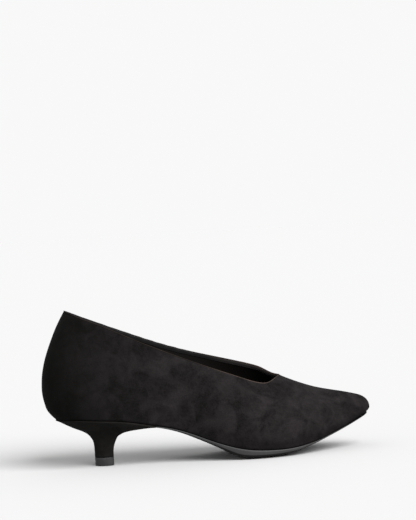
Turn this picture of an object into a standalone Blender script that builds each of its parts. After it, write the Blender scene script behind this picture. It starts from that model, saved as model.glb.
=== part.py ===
"""Kitten heel pump, a right shoe of about size 38, standing empty on its sole.

Lengths are millimetres. While the pieces are worked out, x runs from the back of the
heel to the toe, +y points to the inner side of the foot and z is up from the floor.
The finished meshes are in metres, centred over the origin.
"""
import math
from collections import namedtuple

import bmesh
import bpy
import numpy as np

# Driving dimensions
MILLIMETRE = 0.001
WALL = 1.6              # suede and lining together
SEAT_GAP = 0.3          # clearance between pieces that touch
FOLD = 1.0              # chamfer where the wall turns in under the insole
FOLD_OUT = 0.55         # how the wall leaves the fold: shares of its bulge and of its rise
FOLD_UP = 0.35
WIDEST_DOWN = 0.45      # and how it comes to its widest point
MARGIN = 11.0           # width of the turned-in edge
MARGIN_SHARE = 0.45     # most of the way to the centre line that the margin takes
INSOLE = 1.8            # board and sock at the edge
INSOLE_INSET = 3.1      # from the feather line to the edge of the insole
PLUG_GAP = 1.2          # clearance of the filler to the margin
SOLE_LIP = 0.5          # how far the outsole stands out past the feather line
SOLE_BEVEL = 1.0        # inset of the tread's edge
SOLE_SHOULDER = 0.7     # share of the thickness above the bevel
TREAD_RING = 0.55       # where the crown of the tread gets a row of points of its own
LIFT_HEIGHT = 6.4
HEEL_FAN_X = 36.0       # in front of this the ribs stand square to the length
BREAST_X = 84.0         # where the heel's lip ends and the outsole begins
TOE_FAN_X = 212.0       # in front of this the ribs turn round the toe
THROAT_X = 186.4
TOE_RIDGE_X = 246.5     # last point of the vamp ridge, behind the toe tip
FOOT_TIP = (252.9, 1.9)

Plan = namedtuple("Plan", "x outer inner")
# Feather line seen from above, half widths to the outer and the inner side
FEATHER_PLAN = [
    Plan(36, 25.4, 25.4), Plan(50, 25.6, 25.3), Plan(65, 24.8, 24.2), Plan(80, 23.6, 22.4),
    Plan(95, 23.4, 21.0), Plan(110, 25.2, 21.2), Plan(125, 28.8, 23.8), Plan(140, 33.0, 28.6),
    Plan(153, 35.8, 33.6), Plan(165, 36.6, 36.8), Plan(176, 35.8, 38.0), Plan(188, 33.1, 36.8),
    Plan(200, 28.9, 33.1), Plan(212, 24.0, 28.0), Plan(225, 18.4, 22.0), Plan(238, 12.6, 15.6),
    Plan(246.5, 7.6, 10.7), Plan(250.8, 3.4, 6.9),
]

Level = namedtuple("Level", "x z")
Offset = namedtuple("Offset", "x y")
# Height of the feather line
FEATHER_HEIGHT = [
    Level(10, 38.2), Level(22, 38.3), Level(35, 37.3), Level(46, 36.3), Level(58, 35.0),
    Level(68, 33.2), Level(79, 30.8), Level(88, 28.8), Level(95, 27.2), Level(102, 25.2),
    Level(109, 22.7), Level(117, 19.4), Level(125, 16.0), Level(134, 12.7), Level(145, 9.4),
    Level(153, 7.8), Level(160, 7.0), Level(170, 6.4), Level(179, 6.2), Level(189, 6.6),
    Level(199, 7.9), Level(210, 10.3), Level(220, 13.5), Level(230, 17.0), Level(240, 20.7),
    Level(250, 24.7), Level(258, 28.0),
]
# How far the tread is crowned below its edge
CROWN = [Level(10, 0), Level(80, 0), Level(105, 0.5), Level(130, 1.7), Level(150, 2.3),
         Level(175, 2.3), Level(200, 1.4), Level(230, 0.7), Level(258, 0.3)]
# Thickness of the outsole at its edge
SOLE_THICKNESS = [Level(80, 1.0), Level(88, 1.0), Level(96, 1.3), Level(109, 2.0), Level(118, 2.3),
                  Level(130, 3.0), Level(138, 4.4), Level(146, 6.0), Level(154, 5.6), Level(162, 4.9),
                  Level(172, 4.1), Level(182, 3.3), Level(190, 2.8), Level(200, 1.9), Level(210, 1.1),
                  Level(222, 0.9), Level(240, 0.8), Level(258, 0.8)]
# Back of the shoe in the side view, from the feather line up
BACK_PROFILE = [Level(9.3, 38.2), Level(5.3, 42), Level(2.6, 47), Level(0.7, 54), Level(0.0, 61),
                Level(0.5, 70), Level(2.4, 80), Level(5.6, 90), Level(9.7, 100), Level(14.4, 110),
                Level(20.6, 120.6)]
BACK_WIDEST_Z = 61.0
ROUND_QUARTER = 0.552   # handle that makes a quarter turn round

Side = namedtuple("Side", "x rise bulge_outer bulge_inner")
# Widest point of the wall above the feather line, and how far it stands out from it
WALL_SHAPE = [
    Side(36, 22, 3.9, 3.9), Side(60, 22, 3.1, 3.0), Side(85, 20, 2.6, 3.2), Side(110, 18, 2.6, 4.2),
    Side(130, 15, 3.1, 4.2), Side(150, 12.5, 3.5, 3.5), Side(170, 11, 3.6, 3.3), Side(190, 9.5, 3.3, 3.1),
    Side(212, 8, 2.8, 2.6), Side(235, 6.5, 2.6, 2.5), Side(253, 4.2, 3.4, 3.4),
]

Edge = namedtuple("Edge", "x y z lean")
# Topline from the outer side of the heel to the throat, with the lean of the wall in degrees
TOPLINE_OUTER = [
    Edge(36, -20.7, 112.9, 9), Edge(46, -22.7, 108.6, 7), Edge(58, -24.4, 102.7, 6),
    Edge(82, -25.0, 91.0, 7), Edge(109, -24.3, 79.0, 12), Edge(136, -22.6, 67.8, 22),
    Edge(150, -20.9, 62.2, 31), Edge(163.5, -17.3, 57.0, 44), Edge(173, -12.2, 55.2, 58),
    Edge(181, -5.0, 56.5, 74), Edge(185.3, 1.5, 58.6, 84),
]
THROAT = Edge(THROAT_X, 6.0, 59.6, 90)
# And back along the inner side
TOPLINE_INNER = [
    Edge(185.4, 11.0, 60.7, 84), Edge(182, 16.2, 62.4, 73), Edge(175.8, 20.5, 64.8, 58),
    Edge(167, 23.1, 67.9, 44), Edge(155, 24.6, 71.4, 31), Edge(135, 25.5, 76.9, 16),
    Edge(108.7, 25.7, 84.5, 9), Edge(88, 25.6, 91.9, 7), Edge(65, 25.0, 101.2, 6),
    Edge(50, 23.4, 107.4, 7), Edge(36, 20.5, 113.6, 9),
]
Ridge = namedtuple("Ridge", "x y z")
# Ridge of the vamp from the throat to the toe
VAMP_RIDGE = [
    Ridge(THROAT_X, 6.0, 59.6), Ridge(192, 5.2, 56.8), Ridge(199.5, 4.4, 53.6), Ridge(209, 3.8, 49.9),
    Ridge(218.5, 3.3, 47.1), Ridge(228, 2.9, 44.9), Ridge(237.5, 2.6, 42.8), Ridge(TOE_RIDGE_X, 2.2, 40.4),
]
# Middle of the open arch behind the throat, where the last goes on above the topline
OPEN_MIDDLE = [Offset(36, 0), Offset(110, 1), Offset(140, 4.5), Offset(160, 7), Offset(173, 7.5)]
OPEN_END_X = 173.0      # behind this the arch is worked out from the topline
OPEN_KEYS = (152.0, 162.0, OPEN_END_X)
QUARTER_X = (140.0, 165.0)   # between these the side walls pass into the arch
ARCH_RISE = 0.46        # handle of the section above its widest point
TIP_RISE = 0.55         # and at the tip of the toe
ARCH_TOP = 0.46         # handle of the section at its top

# Stations of the ribs along the sides
SIDE_STATIONS = [36, 46, 56, 66, 75, 84, 93, 102, 111, 120, 129, 137, 145, 153, 161, 168, 174, 179,
                 182.5, 184.8, 186, THROAT_X, 191, 197, 204, 212]
TOE_RIBS = 9
TOE_CROWDING = 1.5      # the ribs crowd together towards the tip
TOP_LEAD = 0.3          # and their tops run ahead of their feet
FAN_RIBS = 7
LOWER_STEPS = 4
UPPER_STEPS = 9
SEAT_STEPS = 3
HALVINGS = 50           # rounds of halving when a place on a curve is looked for
PROBE = 0.5             # half the distance over which a slope is read

Flare = namedtuple("Flare", "height outer breast")
# Heel from the lift up to the seat: share of the height, shares of the way out
HEEL_FLARE = [
    Flare(0, 0, 0), Flare(0.15, 0, 0), Flare(0.30, 0.008, 0.012), Flare(0.42, 0.034, 0.035),
    Flare(0.52, 0.095, 0.060), Flare(0.60, 0.175, 0.085), Flare(0.68, 0.31, 0.115),
    Flare(0.76, 0.504, 0.165), Flare(0.84, 0.675, 0.26), Flare(0.91, 0.81, 0.43),
    Flare(0.96, 0.905, 0.66), Flare(1, 1, 1),
]
BREAST_SPREAD = 0.5     # how soon the sides take the curve of the breast
SEAT_EDGE = 0.8         # upright edge of the heel's seat at the sides
LIP_EDGE = 1.1          # and at its front end
LIFT_BACK_X = 37.7
LIFT_MIDDLE_X = 45.8
LIFT_CORNER_X = 51.2
LIFT_FRONT_X = 52.2
LIFT_HALF_WIDTH = 7.6
LIFT_CORNER_SHARE = 0.82
LIFT_CHAMFER = 0.4
LIFT_FRONT_STEPS = 6
MERGE_DISTANCE = 0.01
SHARP_ANGLE = 35        # degrees between faces that makes an edge show

Finish = namedtuple("Finish", "name colour roughness")
SUEDE = Finish("black_suede", (0.012, 0.012, 0.014), 0.95)
HEEL_SUEDE = Finish("heel_suede", (0.010, 0.010, 0.012), 0.95)
SOCK = Finish("insole_sock", (0.016, 0.014, 0.013), 0.6)
SOLE = Finish("sole_rubber", (0.05, 0.05, 0.053), 0.35)
RUBBER = Finish("lift_rubber", (0.04, 0.04, 0.042), 0.6)

UP = np.array((0.0, 0.0, 1.0))
ACROSS = np.array((0.0, 1.0, 0.0))
SIDES = (-1, 1)         # outer side first


def spline(knots, values):
    """Smooth cubic through the rows, read at any knot value."""
    knots = np.asarray(knots, float)
    values = np.asarray(values, float)
    gaps = np.diff(knots)
    system = np.eye(len(knots))
    turns = np.zeros(values.shape)
    for i in range(1, len(knots) - 1):
        system[i, i - 1:i + 2] = gaps[i - 1], 2 * (gaps[i - 1] + gaps[i]), gaps[i]
        turns[i] = 6 * ((values[i + 1] - values[i]) / gaps[i] - (values[i] - values[i - 1]) / gaps[i - 1])
    bends = np.linalg.solve(system, turns)

    def read(knot):
        i = int(np.clip(np.searchsorted(knots, knot) - 1, 0, len(gaps) - 1))
        left = (knots[i + 1] - knot) / gaps[i]
        right = (knot - knots[i]) / gaps[i]
        bend = (left ** 3 - left) * bends[i] + (right ** 3 - right) * bends[i + 1]
        return left * values[i] + right * values[i + 1] + bend * gaps[i] ** 2 / 6

    return read


def table(rows, column="z"):
    """One column of a table as a smooth function of its x."""
    return spline([row.x for row in rows], [getattr(row, column) for row in rows])


def bezier(start, leave, arrive, end, share):
    """Point of a cubic arc, its share of the way along."""
    rest = 1 - share
    return (rest ** 3 * start + 3 * rest ** 2 * share * leave
            + 3 * rest * share ** 2 * arrive + share ** 3 * end)


def blend(first, second, share):
    """Point a share of the way from the first to the second."""
    return first + (second - first) * share


feather_z = table(FEATHER_HEIGHT)
crown = table(CROWN)
sole_thickness = table(SOLE_THICKNESS)
back_x = spline([row.z for row in BACK_PROFILE], [row.x for row in BACK_PROFILE])
rise_at = table(WALL_SHAPE, "rise")
bulge_at = {-1: table(WALL_SHAPE, "bulge_outer"), 1: table(WALL_SHAPE, "bulge_inner")}
ridge_y = table(OPEN_MIDDLE + VAMP_RIDGE, "y")
ridge_z = table(VAMP_RIDGE)


class EdgeCurve:
    """A line that runs forward on the outer side, turns, and comes back on the inner side."""

    def __init__(self, outer, front, inner):
        points = np.array(outer + [front] + inner, float)
        chords = np.linalg.norm(np.diff(points[:, :2], axis=0), axis=1)
        places = np.concatenate(([0.0], np.cumsum(chords)))
        self.at = spline(places, points)
        self.ends = {-1: 0.0, 1: places[-1]}
        self.front = places[len(outer)]

    def place_of(self, side, x):
        """Distance along the curve at which one side reaches x."""
        low, high = self.ends[side], self.front
        for _ in range(HALVINGS):
            middle = (low + high) / 2
            if self.at(middle)[0] < x:
                low = middle
            else:
                high = middle
        return low

    def at_x(self, side, x):
        """Point of the curve on one side."""
        return self.at(self.place_of(side, x))

    def normal(self, place):
        """Direction out of the shoe, square to the curve."""
        along = self.at(place + PROBE) - self.at(place - PROBE)
        along /= np.linalg.norm(along)
        return np.array((along[1], -along[0], 0.0))


FEATHER = EdgeCurve([(row.x, -row.outer) for row in FEATHER_PLAN], FOOT_TIP,
                    [(row.x, row.inner) for row in FEATHER_PLAN[::-1]])
TOPLINE = EdgeCurve(TOPLINE_OUTER, THROAT, TOPLINE_INNER)
Rib = namedtuple("Rib", "foot spine out top arrive side rise end")


def flat_point(xy):
    """Plan point as a point at the height of the floor."""
    return np.array((xy[0], xy[1], 0.0))


def spine_point(x):
    """Middle of the sole at one distance from the heel."""
    middle = (FEATHER.at_x(-1, x)[1] + FEATHER.at_x(1, x)[1]) / 2
    return np.array((x, middle, 0.0))


def widest_point(foot, out, side):
    """Where the wall above one foot point stands out the most."""
    x = foot[0]
    return foot + out * bulge_at[side](x) + UP * (feather_z(x) + rise_at(x))


def topline_share(side, x):
    """Share of the arch at which a square rib meets the topline."""
    if x >= THROAT_X:
        return 1.0
    widest = widest_point(flat_point(FEATHER.at_x(side, x)), ACROSS * side, side)[1]
    middle = ridge_y(x)
    wanted = TOPLINE.at_x(side, x)[1]
    low, high = 0.0, 1.0
    for _ in range(HALVINGS):
        share = (low + high) / 2
        y = bezier(widest, widest, blend(middle, widest, ARCH_TOP), middle, share)
        if (y - wanted) * side > 0:
            low = share
        else:
            high = share
    return low


def open_ridge(side, x):
    """Height of the arch's middle that takes its flank through the topline."""
    base = widest_point(flat_point(FEATHER.at_x(side, x)), ACROSS * side, side)[2]
    reached = bezier(0.0, ARCH_RISE, 1.0, 1.0, topline_share(side, x))
    return base + (TOPLINE.at_x(side, x)[2] - base) / reached


def throat_ridge(side):
    """The arch's middle on one side, from the open part into the ridge of the vamp."""
    rows = [(x, open_ridge(side, x)) for x in OPEN_KEYS] + [(row.x, row.z) for row in VAMP_RIDGE]
    return spline([row[0] for row in rows], [row[1] for row in rows])


THROAT_RIDGE = {side: throat_ridge(side) for side in SIDES}


def arch_top(side, x):
    """Middle of the arch over the foot, with the ridge that one side needs."""
    if x < OPEN_END_X:
        height = open_ridge(side, x)
    elif x < THROAT_X:
        height = THROAT_RIDGE[side](x)
    else:
        height = ridge_z(x)
    return np.array((x, ridge_y(x), height))


def side_rib(side, x):
    """Rib that stands square to the length; in front of the side walls it is part of an arch."""
    foot = flat_point(FEATHER.at_x(side, x))
    out = ACROSS * side
    if x <= QUARTER_X[0]:
        return wall_rib(side, x)
    return Rib(foot, spine_point(x), out, arch_top(side, x), out, side, ARCH_RISE, topline_share(side, x))


def wall_rib(side, x):
    """Square rib of the side wall, which ends at the topline with the lean it has there."""
    foot = flat_point(FEATHER.at_x(side, x))
    out = ACROSS * side
    edge = Edge(*TOPLINE.at_x(side, x))
    lean = math.radians(edge.lean)
    arrive = out * math.sin(lean) - UP * math.cos(lean)
    return Rib(foot, spine_point(x), out, np.array((x, edge.y, edge.z)), arrive, side, ARCH_RISE, 1.0)


def side_points(side, x):
    """Points of a square rib, passing smoothly from the side wall into the arch."""
    points = wall_points(side_rib(side, x))
    if QUARTER_X[0] < x < QUARTER_X[1]:
        share = (x - QUARTER_X[0]) / (QUARTER_X[1] - QUARTER_X[0])
        share = share ** 2 * (3 - 2 * share)
        points = [blend(a, b, share) for a, b in zip(wall_points(wall_rib(side, x)), points)]
    return points


def toe_rib(side, step):
    """Rib that turns with the toe: step 0 is square, the last one is at the tip."""
    turned = 1 - (1 - step / TOE_RIBS) ** TOE_CROWDING
    place = blend(FEATHER.place_of(side, TOE_FAN_X), FEATHER.front, turned)
    foot = flat_point(FEATHER.at(place))
    out = blend(ACROSS * side, FEATHER.normal(place), turned)
    out /= np.linalg.norm(out)
    x = blend(TOE_FAN_X, TOE_RIDGE_X, turned + TOP_LEAD * turned * (1 - turned))
    slope = (ridge_z(x + PROBE) - ridge_z(x - PROBE)) / (2 * PROBE)
    top = np.array((x, ridge_y(x), ridge_z(x)))
    way = foot - top
    arrive = np.array((way[0], way[1], way[0] * slope))
    arrive /= np.linalg.norm(arrive)
    return Rib(foot, spine_point(x), out, top, arrive, side, blend(ARCH_RISE, TIP_RISE, turned), 1.0)


def wall_points(rib):
    """Points of one rib from the fold up to its top."""
    x = rib.foot[0]
    foot = rib.foot + UP * (feather_z(x) + FOLD)
    rise = rise_at(x) - FOLD
    widest = widest_point(rib.foot, rib.out, rib.side)
    leave = foot + rib.out * bulge_at[rib.side](x) * FOLD_OUT + UP * rise * FOLD_UP
    lower = [bezier(foot, leave, widest - UP * rise * WIDEST_DOWN, widest, i / LOWER_STEPS)
             for i in range(LOWER_STEPS + 1)]
    span = widest - rib.top
    reach = abs(np.dot(span, rib.arrive))
    arrive = rib.top + rib.arrive * reach * ARCH_TOP
    leave = widest + UP * (rib.top[2] - widest[2]) * rib.rise
    upper = [bezier(widest, leave, arrive, rib.top, rib.end * i / UPPER_STEPS)
             for i in range(1, UPPER_STEPS + 1)]
    return lower + upper


def back_points(beside):
    """Points of the rib at the middle of the back, level for level with a side rib's points."""
    heights = [point[2] for point in beside]
    widest = heights[LOWER_STEPS]
    low, high = BACK_PROFILE[0].z + FOLD, BACK_PROFILE[-1].z
    points = []
    for height in heights:
        if height <= widest:
            z = blend(low, BACK_WIDEST_Z, (height - heights[0]) / (widest - heights[0]))
        else:
            z = blend(BACK_WIDEST_Z, high, (height - widest) / (heights[-1] - widest))
        points.append(np.array((back_x(z), 0.0, z)))
    return points


def quarter_turn(side_point, ahead, back_point, share):
    """Point on the arc from a side of the heel round to its back."""
    way = side_point - ahead
    way /= abs(way[0])
    depth = side_point[0] - back_point[0]
    leave = side_point + way * depth * ROUND_QUARTER
    arrive = back_point + ACROSS * (side_point[1] - back_point[1]) * ROUND_QUARTER
    return bezier(side_point, leave, arrive, back_point, share)


def fan_shares():
    """Shares of the way round from a side of the heel to its back, ends left out."""
    return [i / FAN_RIBS for i in range(1, FAN_RIBS)]


def heel_fan_feet(side, shares):
    """Feather points round the heel, from one side towards the back."""
    start = side_rib(side, HEEL_FAN_X).foot
    ahead = side_rib(side, HEEL_FAN_X + 1).foot
    back = np.array((BACK_PROFILE[0].x, 0.0, 0.0))
    return [quarter_turn(start, ahead, back, share) for share in shares]


def inward(foot, spine, inset):
    """Share of the way to the centre line that an inset takes."""
    return inset / np.linalg.norm(spine[:2] - foot[:2])


def margin_share(foot, spine):
    """Share of the way to the centre line that the turned-in margin takes."""
    return min(inward(foot, spine, MARGIN), MARGIN_SHARE)


def tread_point(foot, spine, share, height):
    """Point on the crowned surface under the foot, raised by a height."""
    point = blend(foot, spine, share)
    dip = crown(point[0]) * (1 - (1 - max(share, 0.0)) ** 2)
    return np.array((point[0], point[1], feather_z(point[0]) - dip + height))


def ribs_at(stations):
    """The rib at the tip, those that turn round the toe and the square ones of both sides."""
    toe = {side: [toe_rib(side, step) for step in range(1, TOE_RIBS)] for side in SIDES}
    tip = toe_rib(-1, TOE_RIBS)
    sides = {side: [side_rib(side, x) for x in stations] for side in SIDES}
    return tip, toe, sides


def quads(bm, rows):
    """Faces between neighbouring rows of points."""
    for first, second in zip(rows[:-1], rows[1:]):
        for i in range(len(first) - 1):
            add_face(bm, [first[i], first[i + 1], second[i + 1], second[i]])


def add_face(bm, corners):
    """One face, with corners that fall together counted once, or none if it is pinched shut."""
    kept = []
    for corner in corners:
        if all(np.linalg.norm(corner - other) > MERGE_DISTANCE for other in kept):
            kept.append(corner)
    if len(kept) > 2:
        bm.faces.new([bm.verts.new(corner * MILLIMETRE) for corner in kept])


def finish_mesh(bm, name, finish, closed=True):
    """Merge the patches, close what is left open, make the object and give it its material."""
    bmesh.ops.remove_doubles(bm, verts=bm.verts, dist=MERGE_DISTANCE * MILLIMETRE)
    if closed:
        edges = [edge for edge in bm.edges if edge.is_boundary]
        bmesh.ops.holes_fill(bm, edges=edges, sides=0)
        bmesh.ops.recalc_face_normals(bm, faces=bm.faces)
    mesh = bpy.data.meshes.new(name)
    bm.to_mesh(mesh)
    bm.free()
    mesh.shade_smooth()
    mesh.set_sharp_from_angle(angle=math.radians(SHARP_ANGLE))
    mesh.materials.append(make_material(finish))
    obj = bpy.data.objects.new(name, mesh)
    bpy.context.scene.collection.objects.link(obj)
    return obj


def make_material(finish):
    """Material with the colour and roughness of one finish."""
    material = bpy.data.materials.new(finish.name)
    material.use_nodes = True
    shader = material.node_tree.nodes["Principled BSDF"]
    shader.inputs["Base Color"].default_value = (*finish.colour, 1.0)
    shader.inputs["Roughness"].default_value = finish.roughness
    return material


def make_upper():
    """Skin of the last from the margin to the topline, thickened inwards."""
    tip, toe, _ = ribs_at(SIDE_STATIONS)
    fan = {}
    for side in SIDES:
        start = wall_points(side_rib(side, HEEL_FAN_X))
        ahead = wall_points(side_rib(side, HEEL_FAN_X + 1))
        back = back_points(start)
        fan[side] = [[quarter_turn(a, b, c, share) for a, b, c in zip(start, ahead, back)]
                     for share in fan_shares()]
    heel_spine = spine_point(HEEL_FAN_X)
    feet = {side: heel_fan_feet(side, fan_shares()) for side in SIDES}
    back_foot = heel_fan_feet(-1, [1.0])[0]

    def with_margin(foot, spine, wall):
        shares = (margin_share(foot, spine), margin_share(foot, spine) / 2, inward(foot, spine, FOLD))
        return [tread_point(foot, spine, share, 0.0) for share in shares] + wall

    def squared(side, x):
        rib = side_rib(side, x)
        return with_margin(rib.foot, rib.spine, side_points(side, x))

    def turned(rib):
        return with_margin(rib.foot, rib.spine, wall_points(rib))

    rows = [turned(tip)]
    rows += [turned(rib) for rib in toe[-1][::-1]]
    rows += [squared(-1, x) for x in SIDE_STATIONS[::-1]]
    rows += [with_margin(foot, heel_spine, wall) for foot, wall in zip(feet[-1], fan[-1])]
    rows += [with_margin(back_foot, heel_spine, back_points(wall_points(side_rib(-1, HEEL_FAN_X))))]
    rows += [with_margin(foot, heel_spine, wall) for foot, wall in zip(feet[1][::-1], fan[1][::-1])]
    rows += [squared(1, x) for x in SIDE_STATIONS]
    rows += [turned(rib) for rib in toe[1]]
    rows += [rows[0]]
    bm = bmesh.new()
    quads(bm, rows)
    obj = finish_mesh(bm, "upper", SUEDE, closed=False)
    wall = obj.modifiers.new("wall", "SOLIDIFY")
    wall.thickness = WALL * MILLIMETRE
    wall.offset = -1.0
    wall.use_even_offset = True
    wall.use_quality_normals = True
    return obj


def around_foot():
    """Feather points and centre points once round the whole foot."""
    tip, toe, sides = ribs_at(SIDE_STATIONS)
    heel_spine = spine_point(HEEL_FAN_X)
    pairs = [(tip.foot, tip.spine)]
    pairs += [(rib.foot, rib.spine) for rib in toe[-1][::-1] + sides[-1][::-1]]
    pairs += [(foot, heel_spine) for foot in heel_fan_feet(-1, fan_shares() + [1.0])]
    pairs += [(foot, heel_spine) for foot in heel_fan_feet(1, fan_shares())[::-1]]
    pairs += [(rib.foot, rib.spine) for rib in sides[1] + toe[1]]
    return pairs + pairs[:1]


def make_insole():
    """Board and sock on the margin, with the filler that reaches down to the outsole."""
    flange = WALL + SEAT_GAP
    top = flange + INSOLE
    rows = []
    for foot, spine in around_foot():
        edge = inward(foot, spine, INSOLE_INSET)
        plug = margin_share(foot, spine) + inward(foot, spine, PLUG_GAP)
        middle = (plug + 1) / 2
        rows.append([tread_point(foot, spine, share, height) for share, height in (
            (1.0, 0.0), (middle, 0.0), (plug, 0.0), (plug, flange), (edge, flange),
            (edge, top), (plug, top), (middle, top), (1.0, top))])
    bm = bmesh.new()
    quads(bm, rows)
    return finish_mesh(bm, "insole", SOCK)


def make_outsole():
    """Thin unit from the heel's lip to the toe, its tread flat where it meets the floor."""
    stations = [x for x in SIDE_STATIONS if x >= BREAST_X]
    tip, toe, sides = ribs_at(stations)
    ribs = sides[-1] + toe[-1] + [tip] + toe[1][::-1] + sides[1][::-1]
    rows = []
    for rib in ribs:
        foot, spine = rib.foot, rib.spine
        thick = sole_thickness(foot[0])
        edge = inward(foot, spine, -SOLE_LIP)
        bevel = inward(foot, spine, SOLE_BEVEL)
        margin = margin_share(foot, spine)
        middle = (margin + 1) / 2
        row = [tread_point(foot, spine, share, -SEAT_GAP - drop) for share, drop in (
            (1.0, 0.0), (middle, 0.0), (margin, 0.0), (edge, 0.0), (edge, thick * SOLE_SHOULDER),
            (bevel, thick), (margin * TREAD_RING, thick), (margin, thick), (middle, thick), (1.0, thick))]
        for point in row:
            point[2] = max(point[2], 0.0)
        rows.append(row)
    bm = bmesh.new()
    quads(bm, rows)
    return finish_mesh(bm, "outsole", SOLE)


def lift_ring(z):
    """Outline of the heel's foot: round behind, nearly flat in front."""
    points = []
    corner_y = LIFT_HALF_WIDTH * LIFT_CORNER_SHARE
    side_steps = len([x for x in SIDE_STATIONS if HEEL_FAN_X <= x < BREAST_X])
    for i in range(side_steps):
        share = 1 - i / side_steps
        x = blend(LIFT_MIDDLE_X, LIFT_CORNER_X, share)
        points.append((x, -blend(LIFT_HALF_WIDTH, corner_y, share ** 2)))
    for i in range(2 * FAN_RIBS + 1):
        angle = math.pi * i / (2 * FAN_RIBS)
        points.append((LIFT_MIDDLE_X - (LIFT_MIDDLE_X - LIFT_BACK_X) * math.sin(angle),
                       -LIFT_HALF_WIDTH * math.cos(angle)))
    points += [(x, -y) for x, y in points[:side_steps][::-1]]
    for i in range(1, LIFT_FRONT_STEPS):
        y = blend(corner_y, -corner_y, i / LIFT_FRONT_STEPS)
        points.append((blend(LIFT_CORNER_X, LIFT_FRONT_X, 1 - (y / corner_y) ** 2), y))
    return [np.array((x, y, z)) for x, y in points]


def seat_ring():
    """Edge of the heel's seat, with how much each point belongs to the breast."""
    stations = [x for x in SIDE_STATIONS if HEEL_FAN_X <= x < BREAST_X] + [BREAST_X - SEAT_GAP]
    pairs = []
    for i, x in enumerate(stations[:0:-1]):
        rib = side_rib(-1, x)
        pairs.append((rib.foot, rib.spine, (1 - i / (len(stations) - 1)) ** BREAST_SPREAD))
    start = side_rib(-1, HEEL_FAN_X)
    pairs.append((start.foot, start.spine, 0.0))
    for foot in heel_fan_feet(-1, fan_shares() + [1.0]) + heel_fan_feet(1, fan_shares())[::-1]:
        pairs.append((foot, start.spine, 0.0))
    for i, x in enumerate(stations):
        rib = side_rib(1, x)
        pairs.append((rib.foot, rib.spine, (i / (len(stations) - 1)) ** BREAST_SPREAD))
    return pairs


def make_heel():
    """Covered block: a small round foot that flares out to the seat under the upper."""
    pairs = seat_ring()
    shares = [i / SEAT_STEPS for i in range(SEAT_STEPS + 1)]
    seat_rows = [[tread_point(foot, spine, share, -SEAT_GAP) for share in shares]
                 for foot, spine, _ in pairs]
    front = seat_rows[-1][1:] + seat_rows[0][1:-1][::-1]
    edge_ring = [row[0] for row in seat_rows] + front
    facing = [pair[2] for pair in pairs] + [1.0] * len(front)
    foot_ring = lift_ring(LIFT_HEIGHT + SEAT_GAP)
    rings = []
    for flare in HEEL_FLARE:
        ring = []
        for low, high, breast in zip(foot_ring, edge_ring, facing):
            high = high - UP * blend(SEAT_EDGE, LIP_EDGE, breast)
            out = blend(flare.outer, flare.breast, breast)
            ring.append(np.array((blend(low[0], high[0], out), blend(low[1], high[1], out),
                                  blend(low[2], high[2], flare.height))))
        rings.append(ring + ring[:1])
    rings.append(edge_ring + edge_ring[:1])
    bm = bmesh.new()
    quads(bm, rings)
    quads(bm, seat_rows)
    return finish_mesh(bm, "heel", HEEL_SUEDE)


def make_top_lift():
    """Rubber tip, with a small chamfer round the tread."""
    outline = lift_ring(0.0)
    centre = np.array((LIFT_MIDDLE_X, 0.0, 0.0))
    rings = []
    for inset, z in ((LIFT_CHAMFER, 0.0), (0.0, LIFT_CHAMFER), (0.0, LIFT_HEIGHT)):
        ring = [blend(point, centre, inset / np.linalg.norm(point - centre)) + UP * z for point in outline]
        rings.append(ring + ring[:1])
    bm = bmesh.new()
    quads(bm, rings)
    return finish_mesh(bm, "top_lift", RUBBER)


def centre_pieces(pieces, upper):
    """Bring the middle of the shoe's box over the origin."""
    points = np.array([vertex.co for vertex in upper.data.vertices])
    middle = (points.min(axis=0) + points.max(axis=0)) / 2
    for piece in pieces:
        for vertex in piece.data.vertices:
            vertex.co.x -= middle[0]
            vertex.co.y -= middle[1]


def main():
    for obj in list(bpy.data.objects):
        bpy.data.objects.remove(obj, do_unlink=True)
    upper = make_upper()
    pieces = [upper, make_insole(), make_outsole(), make_heel(), make_top_lift()]
    centre_pieces(pieces, upper)


main()
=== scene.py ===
"""Black suede kitten heel pump, a right shoe, dressed on its solid model.

The row frame is metres with +Z up, +X to the toe and +Y to the inner side of the foot.
"""
import sys
import logging
import math
from dataclasses import dataclass
from enum import Enum

import bpy
import numpy as np
from mathutils import Matrix, Vector
from mathutils.kdtree import KDTree


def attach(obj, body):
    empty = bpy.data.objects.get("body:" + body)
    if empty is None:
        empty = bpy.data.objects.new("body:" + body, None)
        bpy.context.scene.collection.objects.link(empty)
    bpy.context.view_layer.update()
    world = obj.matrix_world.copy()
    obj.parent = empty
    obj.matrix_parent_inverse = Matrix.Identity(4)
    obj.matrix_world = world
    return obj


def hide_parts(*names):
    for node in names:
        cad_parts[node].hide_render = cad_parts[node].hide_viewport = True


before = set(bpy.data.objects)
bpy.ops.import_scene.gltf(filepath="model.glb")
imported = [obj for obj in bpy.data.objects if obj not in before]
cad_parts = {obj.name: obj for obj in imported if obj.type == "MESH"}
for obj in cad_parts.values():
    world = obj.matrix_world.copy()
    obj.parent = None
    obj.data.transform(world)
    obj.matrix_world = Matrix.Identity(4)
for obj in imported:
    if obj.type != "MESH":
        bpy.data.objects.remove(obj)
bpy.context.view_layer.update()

MM = 0.001
MIDDLE_Y = -0.535          # row y of the centre line that the plan was drawn on, in millimetres
MERGE_WITHIN_MM = 0.01     # corners of the solids' loose triangles that count as one
QUAD_FACE_DEG = 60.0       # how far two triangles may turn and still make one quad
QUAD_SHAPE_DEG = 80.0      # how far a quad's corners may be from square
HOLDING_ROUNDS = 4         # times that a smoothed surface is drawn back to its old points
EDGE_DISTANCE = "mm_below_topline"
log = logging.getLogger("pump")


class Cover(Enum):
    """What covers a face of the upper, by its place in the list of materials."""

    SUEDE = 0
    LINING = 1
    TURNED_EDGE = 2


class SoleFace(Enum):
    """What finish a face of the outsole has, by its place in the list of materials."""

    EDGE = 0
    TREAD = 1


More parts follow.
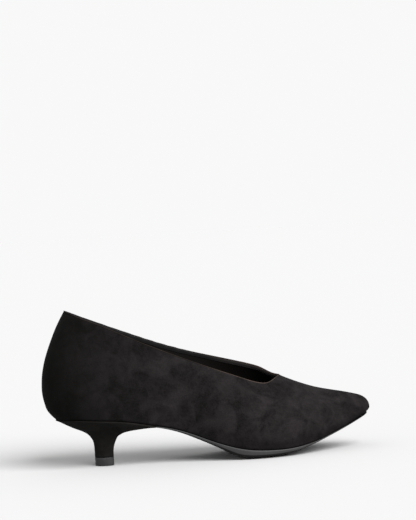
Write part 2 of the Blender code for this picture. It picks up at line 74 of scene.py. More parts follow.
def linear(code: str) -> tuple[float, float, float, float]:
    """Turn an sRGB hex colour into linear RGBA.

    Args:
        code: six hex digits, with or without a leading #.

    Returns:
        Linear red, green, blue and an alpha of one.
    """
    code = code.lstrip("#")
    levels = [int(code[i:i + 2], 16) / 255 for i in (0, 2, 4)]
    red, green, blue = (
        level / 12.92 if level <= 0.04045 else ((level + 0.055) / 1.055) ** 2.4 for level in levels)
    return red, green, blue, 1.0


def add_node(tree: bpy.types.NodeTree, kind: str, settings: dict | None = None,
             links: dict | None = None) -> bpy.types.Node:
    """Add a node with its settings and links.

    Args:
        tree: node tree that gets the node.
        kind: Blender's type name of the node.
        settings: property or input names with their values.
        links: input names or numbers with the output sockets that feed them.

    Returns:
        The new node.
    """
    node = tree.nodes.new(kind)
    for name, value in (settings or {}).items():
        if isinstance(name, str) and hasattr(node, name):
            setattr(node, name, value)
        else:
            node.inputs[name].default_value = value
    for name, socket in (links or {}).items():
        tree.links.new(socket, node.inputs[name])
    return node


def activate(piece: bpy.types.Object) -> None:
    """Deselect everything and make one piece the active one.

    Args:
        piece: the object that the next operators act on.
    """
    bpy.ops.object.select_all(action="DESELECT")
    piece.select_set(True)
    bpy.context.view_layer.objects.active = piece


def subdivide(piece: bpy.types.Object, levels: int, hold: np.ndarray | None = None) -> None:
    """Smooth a piece so that the new surface still runs through its old points.

    Args:
        piece: mesh object.
        levels: number of subdivisions.
        hold: for each old point how firmly it is held, 1 where none are given.
    """
    modifier = piece.modifiers.new("smooth", "SUBSURF")
    modifier.levels = modifier.render_levels = levels
    wanted = points_of(piece)
    share = np.ones(len(wanted)) if hold is None else hold
    for _ in range(HOLDING_ROUNDS):
        shown = piece.evaluated_get(bpy.context.evaluated_depsgraph_get())
        reached = points_of(shown)[:len(wanted)]
        move_points(piece, points_of(piece) + (wanted - reached) * share[:, None])
        bpy.context.view_layer.update()
    activate(piece)
    bpy.ops.object.modifier_apply(modifier=modifier.name)


def merged_copy(node: str, name: str) -> bpy.types.Object:
    """Copy a solid's mesh into a new piece, merged and turned back into quads.

    Args:
        node: name of the solid.
        name: name of the new piece.

    Returns:
        The new piece, at the origin, with no material.
    """
    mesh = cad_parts[node].data.copy()
    mesh.name = name
    mesh.materials.clear()
    piece = bpy.data.objects.new(name, mesh)
    bpy.context.scene.collection.objects.link(piece)
    activate(piece)
    bpy.ops.mesh.customdata_custom_splitnormals_clear()
    bpy.ops.object.mode_set(mode="EDIT")
    bpy.ops.mesh.select_all(action="SELECT")
    bpy.ops.mesh.remove_doubles(threshold=MERGE_WITHIN_MM * MM)
    bpy.ops.mesh.tris_convert_to_quads(
        face_threshold=math.radians(QUAD_FACE_DEG), shape_threshold=math.radians(QUAD_SHAPE_DEG))
    bpy.ops.object.mode_set(mode="OBJECT")
    return piece


def crease_sharp(piece: bpy.types.Object, angle: float, amount: float) -> None:
    """Crease the edges of a piece that turn by more than an angle.

    Args:
        piece: mesh object.
        angle: smallest turn in degrees.
        amount: crease from 0 to 1.
    """
    activate(piece)
    bpy.ops.object.mode_set(mode="EDIT")
    bpy.ops.mesh.select_all(action="DESELECT")
    bpy.ops.mesh.select_mode(type="EDGE")
    bpy.ops.mesh.edges_select_sharp(sharpness=math.radians(angle))
    bpy.ops.transform.edge_crease(value=amount)
    bpy.ops.mesh.select_mode(type="FACE")
    bpy.ops.object.mode_set(mode="OBJECT")


def regions(piece: bpy.types.Object, angle: float) -> np.ndarray:
    """Number the parts of a surface that its sharp edges divide.

    Args:
        piece: mesh object.
        angle: turn in degrees from which an edge divides.

    Returns:
        One region number for each face.
    """
    mesh = piece.data
    neighbours: dict[tuple[int, int], list[int]] = {}
    for face in mesh.polygons:
        for key in face.edge_keys:
            neighbours.setdefault(key, []).append(face.index)
    limit = math.cos(math.radians(angle))
    beside: list[list[int]] = [[] for _ in mesh.polygons]
    for pair in neighbours.values():
        if len(pair) != 2:
            continue
        first, second = pair
        if mesh.polygons[first].normal.dot(mesh.polygons[second].normal) > limit:
            beside[first].append(second)
            beside[second].append(first)
    number = np.full(len(mesh.polygons), -1)
    count = 0
    for start in range(len(number)):
        if number[start] >= 0:
            continue
        number[start] = count
        waiting = [start]
        while waiting:
            for other in beside[waiting.pop()]:
                if number[other] < 0:
                    number[other] = count
                    waiting.append(other)
        count += 1
    return number


def points_of(piece: bpy.types.Object) -> np.ndarray:
    """Read the vertex places of a piece.

    Args:
        piece: mesh object.

    Returns:
        One row of x, y and z in metres for each vertex.
    """
    places = np.empty(len(piece.data.vertices) * 3)
    piece.data.vertices.foreach_get("co", places)
    return places.reshape(-1, 3)


def normals_of(piece: bpy.types.Object) -> np.ndarray:
    """Read the vertex normals of a piece, one row for each vertex."""
    return np.array([vertex.normal for vertex in piece.data.vertices])


def move_points(piece: bpy.types.Object, places: np.ndarray) -> None:
    """Write new vertex places to a piece."""
    piece.data.vertices.foreach_set("co", places.reshape(-1))
    piece.data.update()


def smooth_step(low: float, high: float, value: np.ndarray) -> np.ndarray:
    """Rise smoothly from 0 at low to 1 at high."""
    share = np.clip((value - low) / (high - low), 0.0, 1.0)
    return share * share * (3 - 2 * share)


def finish_piece(piece: bpy.types.Object, slot: str, *nodes: str) -> None:
    """Shade a piece smooth, hang it on the root body and hide the solids that it stands for.

    Args:
        piece: finished mesh object.
        slot: not used.
        nodes: solids that the piece stands for.
    """
    piece.data.shade_smooth()
    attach(piece, "root")
    if nodes:
        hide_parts(*nodes)
    log.info("%s: %d faces", piece.name, len(piece.data.polygons))


@dataclass(frozen=True)
class Suede:
    """Goat suede, buffed: deep black and matt, with soft grey patches where the pile lies over.

    Sheen and specular are nearly off, because the nap swallows light. Real fibres are 0.1 to
    0.3 mm apart; fibre_mm is coarser, so that the nap shows at the render's scale.
    """

    name: str = "black_suede"
    pile_up: str = "#070706"
    pile_over: str = "#242122"
    patch_mm: float = 20.0
    patch_span: tuple[float, float] = (0.40, 0.62)
    stroke_mm: float = 6.0
    stroke_span: tuple[float, float] = (0.38, 0.64)
    stroke_share: float = 0.35
    stroke_depth_mm: float = 0.6
    fibre_mm: float = 0.9
    fibre_span: tuple[float, float] = (0.3, 0.7)
    fibre_share: float = 0.38
    fibre_depth_mm: float = 0.35
    seam_from_mm: float = -140.0
    seam_to_mm: float = -95.0
    seam_edge_mm: tuple[float, float] = (0.1, 0.7)
    seam_depth_mm: float = 0.5
    # Painted shade: the colour is drawn darker towards the heel, down to this share at shade_from_mm,
    # where less light falls on the back of the shoe.
    painted_heel_shade: float = 0.1
    shade_from_mm: float = -122.0
    shade_to_mm: float = -35.0
    roughness: float = 0.95
    specular: float = 0.03
    sheen: float = 0.02
    sheen_roughness: float = 0.5
    sheen_tint: str = "#8f8b8c"

    def build(self) -> bpy.types.Material:
        """Make the material.

        Returns:
            The finished material.
        """
        material = bpy.data.materials.new(self.name)
        material.use_nodes = True
        tree = material.node_tree
        shader = tree.nodes["Principled BSDF"]
        place = add_node(tree, "ShaderNodeTexCoord").outputs["Object"]
        patches = add_node(tree, "ShaderNodeTexNoise", {
            "Scale": 1 / (self.patch_mm * MM), "Detail": 3.0, "Roughness": 0.55, "Distortion": 0.9},
            {"Vector": place})
        strokes = add_node(tree, "ShaderNodeTexNoise", {
            "Scale": 1 / (self.stroke_mm * MM), "Detail": 4.0, "Roughness": 0.6, "Distortion": 0.5},
            {"Vector": place})
        fibres = add_node(tree, "ShaderNodeTexNoise", {
            "Scale": 1 / (self.fibre_mm * MM), "Detail": 3.0, "Roughness": 0.7}, {"Vector": place})
        soft, middle, fine = (
            add_node(tree, "ShaderNodeMapRange", {1: low, 2: high}, {0: noise.outputs["Fac"]})
            for (low, high), noise in ((self.patch_span, patches), (self.stroke_span, strokes),
                                       (self.fibre_span, fibres)))
        mixed = add_node(tree, "ShaderNodeMix", {"Factor": self.stroke_share},
                         {2: soft.outputs[0], 3: middle.outputs[0]})
        speckled = add_node(tree, "ShaderNodeMix", {"Factor": self.fibre_share},
                            {2: mixed.outputs[0], 3: fine.outputs[0]})
        closed = self.seam(tree, place)
        along = add_node(tree, "ShaderNodeSeparateXYZ", None, {0: place})
        # Painted shade: the colour darkens towards the heel; it is multiplied with the seam's dark
        # line.
        painted_darkening_ramp = add_node(tree, "ShaderNodeMapRange", {
            1: self.shade_from_mm * MM, 2: self.shade_to_mm * MM, 3: self.painted_heel_shade},
            {0: along.outputs["X"]})
        shade = add_node(tree, "ShaderNodeMath", {"operation": "MULTIPLY"},
                         {0: painted_darkening_ramp.outputs[0], 1: closed.outputs[0]})
        shaded = add_node(tree, "ShaderNodeMath", {"operation": "MULTIPLY"},
                          {0: speckled.outputs[0], 1: shade.outputs[0]})
        colour = add_node(tree, "ShaderNodeMix", {
            "data_type": "RGBA", 6: linear(self.pile_up), 7: linear(self.pile_over)},
            {0: shaded.outputs[0]})
        nap = add_node(tree, "ShaderNodeBump", {"Strength": 0.55, "Distance": self.fibre_depth_mm * MM},
                       {"Height": fibres.outputs["Fac"]})
        brushed = add_node(tree, "ShaderNodeBump", {
            "Strength": 0.35, "Distance": self.stroke_depth_mm * MM},
            {"Height": strokes.outputs["Fac"], "Normal": nap.outputs[0]})
        butted = add_node(tree, "ShaderNodeBump", {
            "Strength": 0.8, "Distance": self.seam_depth_mm * MM},
            {"Height": closed.outputs[0], "Normal": brushed.outputs[0]})
        shader.inputs["Roughness"].default_value = self.roughness
        shader.inputs["Specular IOR Level"].default_value = self.specular
        shader.inputs["Sheen Weight"].default_value = self.sheen
        shader.inputs["Sheen Roughness"].default_value = self.sheen_roughness
        shader.inputs["Sheen Tint"].default_value = linear(self.sheen_tint)
        tree.links.new(colour.outputs[2], shader.inputs["Base Color"])
        tree.links.new(butted.outputs[0], shader.inputs["Normal"])
        return material

    def seam(self, tree: bpy.types.NodeTree, place: bpy.types.NodeSocket) -> bpy.types.Node:
        """Draw the butted seam on the centre line.

        Args:
            tree: the material's nodes.
            place: object coordinates.

        Returns:
            A node that reads 0 in the seam and 1 beside it.
        """
        parts = add_node(tree, "ShaderNodeSeparateXYZ", None, {0: place})
        off = add_node(tree, "ShaderNodeMath", {"operation": "SUBTRACT", 1: MIDDLE_Y * MM},
                       {0: parts.outputs["Y"]})
        away = add_node(tree, "ShaderNodeMath", {"operation": "ABSOLUTE"}, {0: off.outputs[0]})
        beside = add_node(tree, "ShaderNodeMapRange", {
            "interpolation_type": "SMOOTHSTEP", 1: self.seam_edge_mm[0] * MM,
            2: self.seam_edge_mm[1] * MM}, {0: away.outputs[0]})
        before = add_node(tree, "ShaderNodeMath", {
            "operation": "LESS_THAN", 1: self.seam_from_mm * MM}, {0: parts.outputs["X"]})
        after = add_node(tree, "ShaderNodeMath", {
            "operation": "GREATER_THAN", 1: self.seam_to_mm * MM}, {0: parts.outputs["X"]})
        outside = add_node(tree, "ShaderNodeMath", {"operation": "MAXIMUM"},
                           {0: before.outputs[0], 1: after.outputs[0]})
        return add_node(tree, "ShaderNodeMath", {"operation": "MAXIMUM"},
                        {0: beside.outputs[0], 1: outside.outputs[0]})


@dataclass(frozen=True)
class GrainLeather:
    """Drum-dyed, coated lining leather: a fine pebble, smoother and a little shinier than suede.

    The pebble is drawn about twice as coarse as real lining grain, so that it shows. Where
    facing_mm is set, a suede facing of that depth runs along the topline and steps down to
    the leather. The facing is painted lighter towards the toe: painted light where it lies in the
    throat's shade.
    """

    name: str
    hollow: str
    crest: str
    roughness: float
    shine: float = 0.12
    pebble_mm: float = 1.1
    relief_mm: float = 0.08
    clouds_per_m: float = 60.0
    cloud_share: float = 0.5
    facing_mm: float = 0.0
    facing_soft_mm: float = 0.15
    facing_step_mm: float = 0.4
    facing: str = "#0e0d0d"
    # Painted light: the facing's colour towards the toe, lighter where the inside of the throat lies in
    # shade.
    facing_painted_light: str = "#363332"
    front_from_mm: float = 5.0
    front_to_mm: float = 50.0

    def build(self) -> bpy.types.Material:
        """Make the material.

        Returns:
            The finished material.
        """
        material = bpy.data.materials.new(self.name)
        material.use_nodes = True
        tree = material.node_tree
        shader = tree.nodes["Principled BSDF"]
        place = add_node(tree, "ShaderNodeTexCoord").outputs["Object"]
        pebble = add_node(tree, "ShaderNodeTexVoronoi", {
            "feature": "SMOOTH_F1", "Scale": 1 / (self.pebble_mm * MM), "Smoothness": 0.6},
            {"Vector": place})
        cloud = add_node(tree, "ShaderNodeTexNoise", {"Scale": self.clouds_per_m, "Detail": 4.0},
                         {"Vector": place})
        mixed = add_node(tree, "ShaderNodeMix", {"Factor": self.cloud_share},
                         {2: pebble.outputs["Distance"], 3: cloud.outputs["Fac"]})
        colour = add_node(tree, "ShaderNodeMix", {
            "data_type": "RGBA", 6: linear(self.hollow), 7: linear(self.crest)},
            {0: mixed.outputs[0]})
        grain = add_node(tree, "ShaderNodeBump", {
            "invert": True, "Strength": 0.5, "Distance": self.relief_mm * MM},
            {"Height": pebble.outputs["Distance"]})
        shader.inputs["Roughness"].default_value = self.roughness
        shader.inputs["Specular IOR Level"].default_value = self.shine
        if self.facing_mm:
            below = add_node(tree, "ShaderNodeAttribute", {"attribute_name": EDGE_DISTANCE})
            inside = add_node(tree, "ShaderNodeMapRange", {
                1: self.facing_mm - self.facing_soft_mm, 2: self.facing_mm + self.facing_soft_mm},
                {0: below.outputs["Fac"]})
            # Painted light: the facing is drawn lighter towards the toe.
            along = add_node(tree, "ShaderNodeSeparateXYZ", None, {0: place})
            front = add_node(tree, "ShaderNodeMapRange", {
                1: self.front_from_mm * MM, 2: self.front_to_mm * MM}, {0: along.outputs["X"]})
            facing = add_node(tree, "ShaderNodeMix", {
                "data_type": "RGBA", 6: linear(self.facing), 7: linear(self.facing_painted_light)},
                {0: front.outputs[0]})
            colour = add_node(tree, "ShaderNodeMix", {"data_type": "RGBA"},
                              {0: inside.outputs[0], 6: facing.outputs[2], 7: colour.outputs[2]})
            grain = add_node(tree, "ShaderNodeBump", {
                "invert": True, "Strength": 1.0, "Distance": self.facing_step_mm * MM},
                {"Height": inside.outputs[0], "Normal": grain.outputs[0]})
        tree.links.new(colour.outputs[2], shader.inputs["Base Color"])
        tree.links.new(grain.outputs[0], shader.inputs["Normal"])
        return material


@dataclass(frozen=True)
class Rubber:
    """Moulded and trimmed rubber: an even dark grey, slightly greasy, with faint scuffs.

    It is painted darker towards the toe, behind a place and near the floor, where its edge turns
    under: painted shade where little light reaches the edge. The limits that a finish doesn't set
    lie beyond the shoe. The grit is drawn coarser than a mould's, so that it shows.
    """

    name: str
    dark: str
    scuffed: str
    roughness: float
    roughness_range: float = 0.12
    scuffs_per_m: float = 90.0
    scuff_span: tuple[float, float] = (0.35, 0.75)
    grit_mm: float = 0.7
    relief_mm: float = 0.04
    shine: float = 0.4
    # Painted shade: the colour that the edge turns to towards the toe, behind dark_behind_mm and near
    # the floor.
    painted_shade_colour: str = "#080808"
    darker_from_mm: float = 150.0
    darker_to_mm: float = 160.0
    dark_below_mm: float = -5.0
    below_soft_mm: float = 0.4
    dark_behind_mm: float = -150.0
    behind_soft_mm: float = 14.0

    def build(self) -> bpy.types.Material:
        """Make the material.

        Returns:
            The finished material.
        """
        material = bpy.data.materials.new(self.name)
        material.use_nodes = True
        tree = material.node_tree
        shader = tree.nodes["Principled BSDF"]
        place = add_node(tree, "ShaderNodeTexCoord").outputs["Object"]
        scuffs = add_node(tree, "ShaderNodeTexNoise", {
            "Scale": self.scuffs_per_m, "Detail": 6.0, "Roughness": 0.65}, {"Vector": place})
        grit = add_node(tree, "ShaderNodeTexNoise", {"Scale": 1 / (self.grit_mm * MM), "Detail": 2.0},
                        {"Vector": place})
        worn = add_node(tree, "ShaderNodeMapRange", {1: self.scuff_span[0], 2: self.scuff_span[1]},
                        {0: scuffs.outputs["Fac"]})
        colour = add_node(tree, "ShaderNodeMix", {
            "data_type": "RGBA", 6: linear(self.dark), 7: linear(self.scuffed)}, {0: worn.outputs[0]})
        # Painted shade towards the toe, behind a place and near the floor, mixed over the rubber's own
        # colour.
        along = add_node(tree, "ShaderNodeSeparateXYZ", None, {0: place})
        darker = add_node(tree, "ShaderNodeMapRange", {
            1: self.darker_from_mm * MM, 2: self.darker_to_mm * MM}, {0: along.outputs["X"]})
        low = add_node(tree, "ShaderNodeMapRange", {
            1: (self.dark_below_mm + self.below_soft_mm) * MM, 2: self.dark_below_mm * MM},
            {0: along.outputs["Z"]})
        behind = add_node(tree, "ShaderNodeMapRange", {
            1: (self.dark_behind_mm + self.behind_soft_mm) * MM, 2: self.dark_behind_mm * MM},
            {0: along.outputs["X"]})
        ends = add_node(tree, "ShaderNodeMath", {"operation": "MAXIMUM"},
                        {0: darker.outputs[0], 1: behind.outputs[0]})
        under = add_node(tree, "ShaderNodeMath", {"operation": "MAXIMUM"},
                         {0: ends.outputs[0], 1: low.outputs[0]})
        colour = add_node(tree, "ShaderNodeMix", {"data_type": "RGBA", 7: linear(self.painted_shade_colour)},
                          {0: under.outputs[0], 6: colour.outputs[2]})
        shader.inputs["Specular IOR Level"].default_value = self.shine
        gloss = add_node(tree, "ShaderNodeMapRange", {
            3: self.roughness, 4: self.roughness + self.roughness_range},
            {0: scuffs.outputs["Fac"]})
        relief = add_node(tree, "ShaderNodeBump", {"Strength": 0.4, "Distance": self.relief_mm * MM},
                          {"Height": grit.outputs["Fac"]})
        tree.links.new(colour.outputs[2], shader.inputs["Base Color"])
        tree.links.new(gloss.outputs[0], shader.inputs["Roughness"])
        tree.links.new(relief.outputs[0], shader.inputs["Normal"])
        return material


@dataclass(frozen=True)
class PalePaper:
    """Seamless studio paper, perfectly matt, which the key light burns out to near white."""

    name: str = "pale_paper"
    colour: str = "#b3b3b3"

    def build(self) -> bpy.types.Material:
        """Make the material.

        Returns:
            The finished material.
        """
        material = bpy.data.materials.new(self.name)
        material.use_nodes = True
        shader = material.node_tree.nodes["Principled BSDF"]
        shader.inputs["Base Color"].default_value = linear(self.colour)
        shader.inputs["Roughness"].default_value = 1.0
        shader.inputs["Specular IOR Level"].default_value = 0.0
        return material


@dataclass
class Camera:
    """The photograph's camera: low, a little to the heel's side, rolled so that the toe rises.

    aim_mm is the place on the shoe that falls on the pixel aim_px of the photograph.
    """

    rise_deg: float = 5.5
    turn_deg: float = 8.0
    roll_deg: float = 3.4
    distance_mm: float = 1350.0
    aim_mm: tuple[float, float, float] = (-1.2, -0.535, 51.3)
    aim_px: tuple[float, float] = (206.0, 391.0)
    frame_px: tuple[float, float] = (416.0, 520.0)
    mm_per_px: float = 0.78
    sensor_mm: float = 36.0
    clip_m: tuple[float, float] = (0.05, 100.0)

    def build(self) -> bpy.types.Object:
        """Place the camera so that the aim point falls on its pixel.

        Returns:
            The camera object.
        """
        rise, turn, roll = (
            math.radians(angle) for angle in (self.rise_deg, self.turn_deg, self.roll_deg))
        back = Vector((-math.sin(turn) * math.cos(rise), -math.cos(turn) * math.cos(rise),
                       math.sin(rise)))
        focal_px = self.distance_mm / self.mm_per_px
        ray = Vector((self.aim_px[0] - self.frame_px[0] / 2,
                      self.aim_px[1] - self.frame_px[1] / 2, focal_px))
        ahead = -back
        right = ahead.cross(Vector((0, 0, 1))).normalized()
        down = ahead.cross(right)
        level = Matrix((right, down, ahead))
        rolled = Matrix(((math.cos(roll), math.sin(roll), 0),
                         (-math.sin(roll), math.cos(roll), 0), (0, 0, 1)))
        swing = Vector((0, 0, 1)).rotation_difference(ray.normalized()).to_matrix()
        view = swing @ rolled @ level
        data = bpy.data.cameras.new("photo_camera")
        data.sensor_width = self.sensor_mm
        data.lens = focal_px / max(self.frame_px) * data.sensor_width
        data.clip_start, data.clip_end = self.clip_m
        camera = bpy.data.objects.new("photo_camera", data)
        turned = Matrix((view[0], -view[1], -view[2])).transposed().to_4x4()
        turned.translation = (Vector(self.aim_mm) + back * self.distance_mm) * MM
        camera.matrix_world = turned
        bpy.context.scene.collection.objects.link(camera)
        bpy.context.scene.camera = camera
        return camera


@dataclass
class Studio:
    """Pale floor, white surroundings and one wide soft light from the toe's side."""

    floor_radius: float = 40.0
    floor_sides: int = 96
    sky: float = 0.94
    key_strength: float = 5.35
    key_from: tuple[float, float, float] = (0.48, -0.80, 0.85)
    key_angle_deg: float = 48.0

    def build(self) -> None:
        """Make the floor, the light and the surroundings."""
        scene = bpy.context.scene
        scene.view_settings.view_transform = "Standard"
        world = bpy.data.worlds.new("white_surroundings")
        world.use_nodes = True
        background = world.node_tree.nodes["Background"]
        background.inputs["Color"].default_value = (1.0, 1.0, 1.0, 1.0)
        background.inputs["Strength"].default_value = self.sky
        scene.world = world
        bpy.ops.object.select_all(action="DESELECT")
        bpy.ops.mesh.primitive_circle_add(
            vertices=self.floor_sides, radius=self.floor_radius, fill_type="NGON")
        floor = bpy.context.active_object
        floor.name = "floor"
        floor.data.materials.append(PalePaper().build())
        self.add_sun("key_light", self.key_from, self.key_strength, self.key_angle_deg)

    def add_sun(self, name: str, come_from: tuple[float, float, float], strength: float,
                angle_deg: float) -> None:
        """Add one wide, even light.

        Args:
            name: name of the light.
            come_from: direction that the light comes from.
            strength: light on a surface square to it.
            angle_deg: how wide the source looks.
        """
        data = bpy.data.lights.new(name, "SUN")
        data.energy = strength
        data.angle = math.radians(angle_deg)
        light = bpy.data.objects.new(name, data)
        light.rotation_euler = Vector(come_from).to_track_quat("Z", "Y").to_euler()
        bpy.context.scene.collection.objects.link(light)


@dataclass
class Upper:
    """Suede upper with its lining, turned over at the topline."""

    levels: int = 2
    divide_deg: float = 50.0
    sharp_deg: float = 28.0
    sharp_crease: float = 1.0
    edge_crease: float = 0.45
    edge_hold: float = 0.6
    rim_lowest_mm: float = 30.0
    rim_facing_up: float = 0.1
    toe_from_mm: float = 117.0
    toe_to_mm: float = 124.5
    toe_turn_mm: float = 26.2
    toe_turn_width_mm: float = 2.0
    toe_fill_mm: float = 1.1
    bead_radius_mm: float = 0.32
    bead_rounding: int = 2
    crease_start_mm: tuple[float, float] = (51.5, 55.0)
    crease_end_mm: tuple[float, float] = (60.5, 46.5)
    crease_width_mm: float = 1.5
    crease_depth_mm: float = 0.7

    def build(self) -> bpy.types.Object:
        """Smooth the upper's wall and give each face its leather.

        Returns:
            The finished piece.
        """
        piece = merged_copy("upper", "upper_suede_and_lining")
        for finish in (Suede(), LINING, FOLDED_EDGE):
            piece.data.materials.append(finish.build())
        self.dress(piece)
        crease_sharp(piece, self.sharp_deg, self.sharp_crease)
        subdivide(piece, self.levels, self.soften_topline(piece))
        self.fill_toe(piece)
        self.press_crease(piece)
        self.measure_lining(piece)
        bead = self.bead(piece)
        activate(piece)
        bead.select_set(True)
        bpy.ops.object.join()
        finish_piece(piece, "upper_suede", "upper")
        return piece

    def fill_toe(self, piece: bpy.types.Object) -> None:
        """Push the turn under the toe tip forward, so that it runs on into the sole.

        Args:
            piece: the smoothed upper.
        """
        places = points_of(piece)
        near_tip = smooth_step(self.toe_from_mm * MM, self.toe_to_mm * MM, places[:, 0])
        above_turn = (places[:, 2] - self.toe_turn_mm * MM) / (self.toe_turn_width_mm * MM)
        at_turn = np.exp(-above_turn ** 2)
        places[:, 0] += self.toe_fill_mm * MM * near_tip * at_turn
        move_points(piece, places)

    def press_crease(self, piece: bpy.types.Object) -> None:
        """Press in the short soft crease that runs down from the outer corner of the throat.

        Args:
            piece: the smoothed upper.
        """
        places = points_of(piece)
        start, end = (np.array(point) * MM for point in (self.crease_start_mm, self.crease_end_mm))
        line = end - start
        flat = places[:, [0, 2]] - start
        share = np.clip(flat @ line / (line @ line), 0.0, 1.0)
        away = np.linalg.norm(flat - share[:, None] * line, axis=1) / (self.crease_width_mm * MM)
        depth = self.crease_depth_mm * MM * np.exp(-away ** 2) * (places[:, 1] < MIDDLE_Y * MM)
        inward = -normals_of(piece) * self.outer_points(piece)[:, None]
        move_points(piece, places + inward * depth[:, None])

    def outer_points(self, piece: bpy.types.Object) -> np.ndarray:
        """Mark the points of the suede face.

        Args:
            piece: the smoothed upper.

        Returns:
            For each point 1 on the suede face and 0 elsewhere.
        """
        outer = np.zeros(len(piece.data.vertices))
        for face in piece.data.polygons:
            if face.material_index == Cover.SUEDE.value:
                outer[list(face.vertices)] = 1.0
        return outer

    def bead(self, piece: bpy.types.Object) -> bpy.types.Object:
        """Make the thin bead that the turned edge leaves along the outer side of the topline.

        Args:
            piece: the smoothed upper.

        Returns:
            A closed tube along the topline.
        """
        mesh = piece.data
        sides: dict[tuple[int, int], set[int]] = {}
        for face in mesh.polygons:
            for key in face.edge_keys:
                sides.setdefault(key, set()).add(face.material_index)
        after: dict[int, list[int]] = {}
        for (a, b), found in sides.items():
            if found == {Cover.SUEDE.value, Cover.TURNED_EDGE.value}:
                after.setdefault(a, []).append(b)
                after.setdefault(b, []).append(a)
        start = min(after, key=lambda i: mesh.vertices[i].co.x)
        loop, last = [start], None
        while True:
            ahead = [i for i in after[loop[-1]] if i != last and i not in loop[1:]]
            if not ahead or (ahead[0] == start and len(loop) > 2):
                break
            last = loop[-1]
            loop.append(ahead[0])
        log.info("topline bead: %d of %d points", len(loop), len(after))
        curve = bpy.data.curves.new("topline_bead", "CURVE")
        curve.dimensions = "3D"
        curve.bevel_depth = self.bead_radius_mm * MM
        curve.bevel_resolution = self.bead_rounding
        line = curve.splines.new("POLY")
        line.points.add(len(loop) - 1)
        line.use_cyclic_u = True
        for point, i in zip(line.points, loop):
            point.co = (*mesh.vertices[i].co, 1.0)
        # Painted highlight: the bead's pale colour stands for the light that the fold's edge catches.
        curve.materials.append(BEAD.build())
        bead = bpy.data.objects.new("topline_bead", curve)
        bpy.context.scene.collection.objects.link(bead)
        activate(bead)
        bpy.ops.object.convert(target="MESH")
        return bead

    def rim_points(self, piece: bpy.types.Object) -> list[int]:
        """List the points of the turned edge.

        Args:
            piece: the upper, dressed.

        Returns:
            Their numbers in rising order.
        """
        return sorted({point for face in piece.data.polygons
                       if face.material_index == Cover.TURNED_EDGE.value for point in face.vertices})

    def soften_topline(self, piece: bpy.types.Object) -> np.ndarray:
        """Take most of the crease off the turned edge.

        Args:
            piece: the upper before it is smoothed.

        Returns:
            How firmly each point is held while it is smoothed.
        """
        rim = self.rim_points(piece)
        on_rim = set(rim)
        creases = piece.data.attributes["crease_edge"].data
        for edge in piece.data.edges:
            if on_rim.issuperset(edge.vertices):
                creases[edge.index].value = min(creases[edge.index].value, self.edge_crease)
        hold = np.ones(len(piece.data.vertices))
        hold[rim] = self.edge_hold
        return hold

    def measure_lining(self, piece: bpy.types.Object) -> None:
        """Write each point's distance to the turned edge, for the lining's facing.

        Args:
            piece: the smoothed upper, which gets the distance in millimetres as an attribute.
        """
        mesh = piece.data
        rim = self.rim_points(piece)
        tree = KDTree(len(rim))
        for i in rim:
            tree.insert(mesh.vertices[i].co, i)
        tree.balance()
        distance = mesh.attributes.new(EDGE_DISTANCE, "FLOAT", "POINT")
        distance.data.foreach_set("value", [tree.find(v.co)[2] / MM for v in mesh.vertices])

    def dress(self, piece: bpy.types.Object) -> None:
        """Give the outer face suede, the inner face lining and the topline its turned edge.

        Of the two largest regions the one that reaches further to the side is the outer face.

        Args:
            piece: the upper before it is smoothed.
        """
        number = regions(piece, self.divide_deg)
        faces = piece.data.polygons
        sizes = np.bincount(number)
        log.info("upper regions: %s", sizes.tolist())
        order = np.argsort(sizes)[::-1]
        reach = [max(abs(faces[i].center.y) for i in np.flatnonzero(number == n))
                 for n in order[:2]]
        outer = order[0] if reach[0] > reach[1] else order[1]
        inner = order[1] if outer == order[0] else order[0]
        for face, n in zip(faces, number):
            if n == outer:
                face.material_index = Cover.SUEDE.value
            elif (n == inner or face.center.z < self.rim_lowest_mm * MM
                  or face.normal.z < self.rim_facing_up):
                face.material_index = Cover.LINING.value
            else:
                face.material_index = Cover.TURNED_EDGE.value


# The lining's suede facing carries painted light, lighter towards the throat.
LINING = GrainLeather("lining_leather", "#040303", "#0b0705", 0.62, facing_mm=3.2)
SOCK_LEATHER = GrainLeather("sock_leather", "#0b0806", "#140f0b", 0.5, pebble_mm=0.9)
# The fold is drawn browner than the face, with lighter dark patches: a painted highlight along its
# rounded top.
FOLDED_EDGE = Suede(name="folded_edge_suede", pile_up="#141110", pile_over="#211b18", patch_mm=9.0)
# The bead's pale warm colour is a painted highlight: the thin line of light along the stretched fold,
# painted strongest at the throat.
BEAD = Suede(name="topline_bead_painted_highlight", pile_up="#161413", pile_over="#5a4e48", patch_mm=30.0,
             painted_heel_shade=0.15, shade_from_mm=-10.0, shade_to_mm=40.0)
# The heel cover keeps the suede's painted shade towards the heel.
HEEL_COVER = Suede(name="heel_cover_suede", pile_up="#0e0d0c", pile_over="#232221", patch_mm=14.0,
                   seam_from_mm=-80.0, seam_to_mm=-30.0)
# The edge carries painted shade towards the toe, behind x = -50 mm and in its lowest 1.3 mm, where it
# turns under away from the light.
SOLE_EDGE = Rubber("sole_edge_dressing", "#242424", "#2c2c2c", 0.45, shine=0.3,
                   darker_from_mm=90.0, darker_to_mm=110.0, dark_below_mm=1.3,
                   dark_behind_mm=-50.0)
# The tread's near-black is partly its own matt rubber and partly painted shade for an underside that
# faces the floor.
SOLE_TREAD = Rubber("sole_tread_rubber", "#080808", "#0f0f0f", 0.6, relief_mm=0.12, shine=0.15)
LIFT_RUBBER = Rubber("top_lift_rubber", "#212121", "#2b2b2b", 0.5, shine=0.25)


@dataclass
class Insole:
    """Sock on its board inside the shoe."""

    levels: int = 2
    sharp_deg: float = 50.0
    sharp_crease: float = 0.8

    def build(self) -> bpy.types.Object:
        """Smooth the sock.

        Returns:
            The finished piece.
        """
        piece = merged_copy("insole", "insole_sock")
        crease_sharp(piece, self.sharp_deg, self.sharp_crease)
        piece.data.materials.append(SOCK_LEATHER.build())
        subdivide(piece, self.levels)
        finish_piece(piece, "insole_sock", "insole")
        return piece


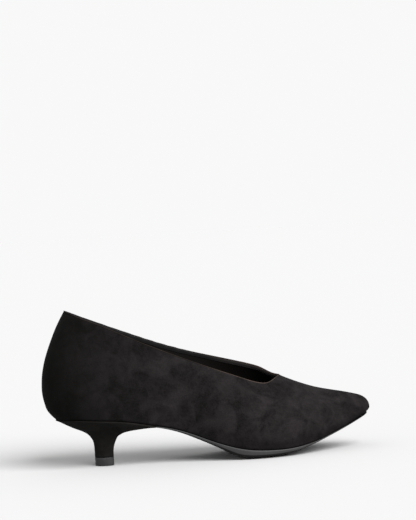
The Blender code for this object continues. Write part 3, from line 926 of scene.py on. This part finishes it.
@dataclass
class Outsole:
    """Thin outsole with a dressed edge and a matt tread."""

    levels: int = 2
    sharp_deg: float = 28.0
    sharp_crease: float = 0.75
    # Faces turned further down than this take the tread's darker colour: painted shade on the edge's
    # lower bevel.
    tread_facing: float = -0.6
    toe_from_mm: float = 112.0
    toe_to_mm: float = 124.5
    toe_reach_mm: float = 0.6

    def build(self) -> bpy.types.Object:
        """Smooth the outsole and give its edge and its tread their finishes.

        Returns:
            The finished piece.
        """
        piece = merged_copy("outsole", "outsole_unit")
        piece.data.materials.append(SOLE_EDGE.build())
        piece.data.materials.append(SOLE_TREAD.build())
        for face in piece.data.polygons:
            side = SoleFace.TREAD if face.normal.z < self.tread_facing else SoleFace.EDGE
            face.material_index = side.value
        crease_sharp(piece, self.sharp_deg, self.sharp_crease)
        subdivide(piece, self.levels)
        places = points_of(piece)
        near_tip = smooth_step(self.toe_from_mm * MM, self.toe_to_mm * MM, places[:, 0])
        places[:, 0] += self.toe_reach_mm * MM * near_tip
        move_points(piece, places)
        finish_piece(piece, "outsole_rubber", "outsole")
        return piece


@dataclass
class CoveredHeel:
    """Heel block in its suede cover."""

    levels: int = 2
    sharp_deg: float = 50.0
    sharp_crease: float = 1.0

    def build(self) -> bpy.types.Object:
        """Smooth the heel.

        Returns:
            The finished piece.
        """
        piece = merged_copy("heel", "heel_cover")
        piece.data.materials.append(HEEL_COVER.build())
        crease_sharp(piece, self.sharp_deg, self.sharp_crease)
        subdivide(piece, self.levels)
        finish_piece(piece, "heel_suede", "heel")
        return piece


@dataclass
class TopLift:
    """Rubber tip under the heel."""

    levels: int = 2
    sharp_deg: float = 28.0
    sharp_crease: float = 0.8

    def build(self) -> bpy.types.Object:
        """Smooth the lift.

        Returns:
            The finished piece.
        """
        piece = merged_copy("top_lift", "top_lift_tip")
        piece.data.materials.append(LIFT_RUBBER.build())
        crease_sharp(piece, self.sharp_deg, self.sharp_crease)
        subdivide(piece, self.levels)
        finish_piece(piece, "lift_rubber", "top_lift")
        return piece


def main() -> None:
    """Build the studio and the shoe, piece by piece."""
    logging.basicConfig(level=logging.INFO, format="%(name)s: %(message)s", stream=sys.stdout)
    Camera().build()
    Studio().build()
    for maker in (Upper(), Insole(), Outsole(), CoveredHeel(), TopLift()):
        piece = maker.build()
        log.info("built %s", piece.name)
    bpy.ops.object.select_all(action="DESELECT")


if __name__ == "__main__":
    main()
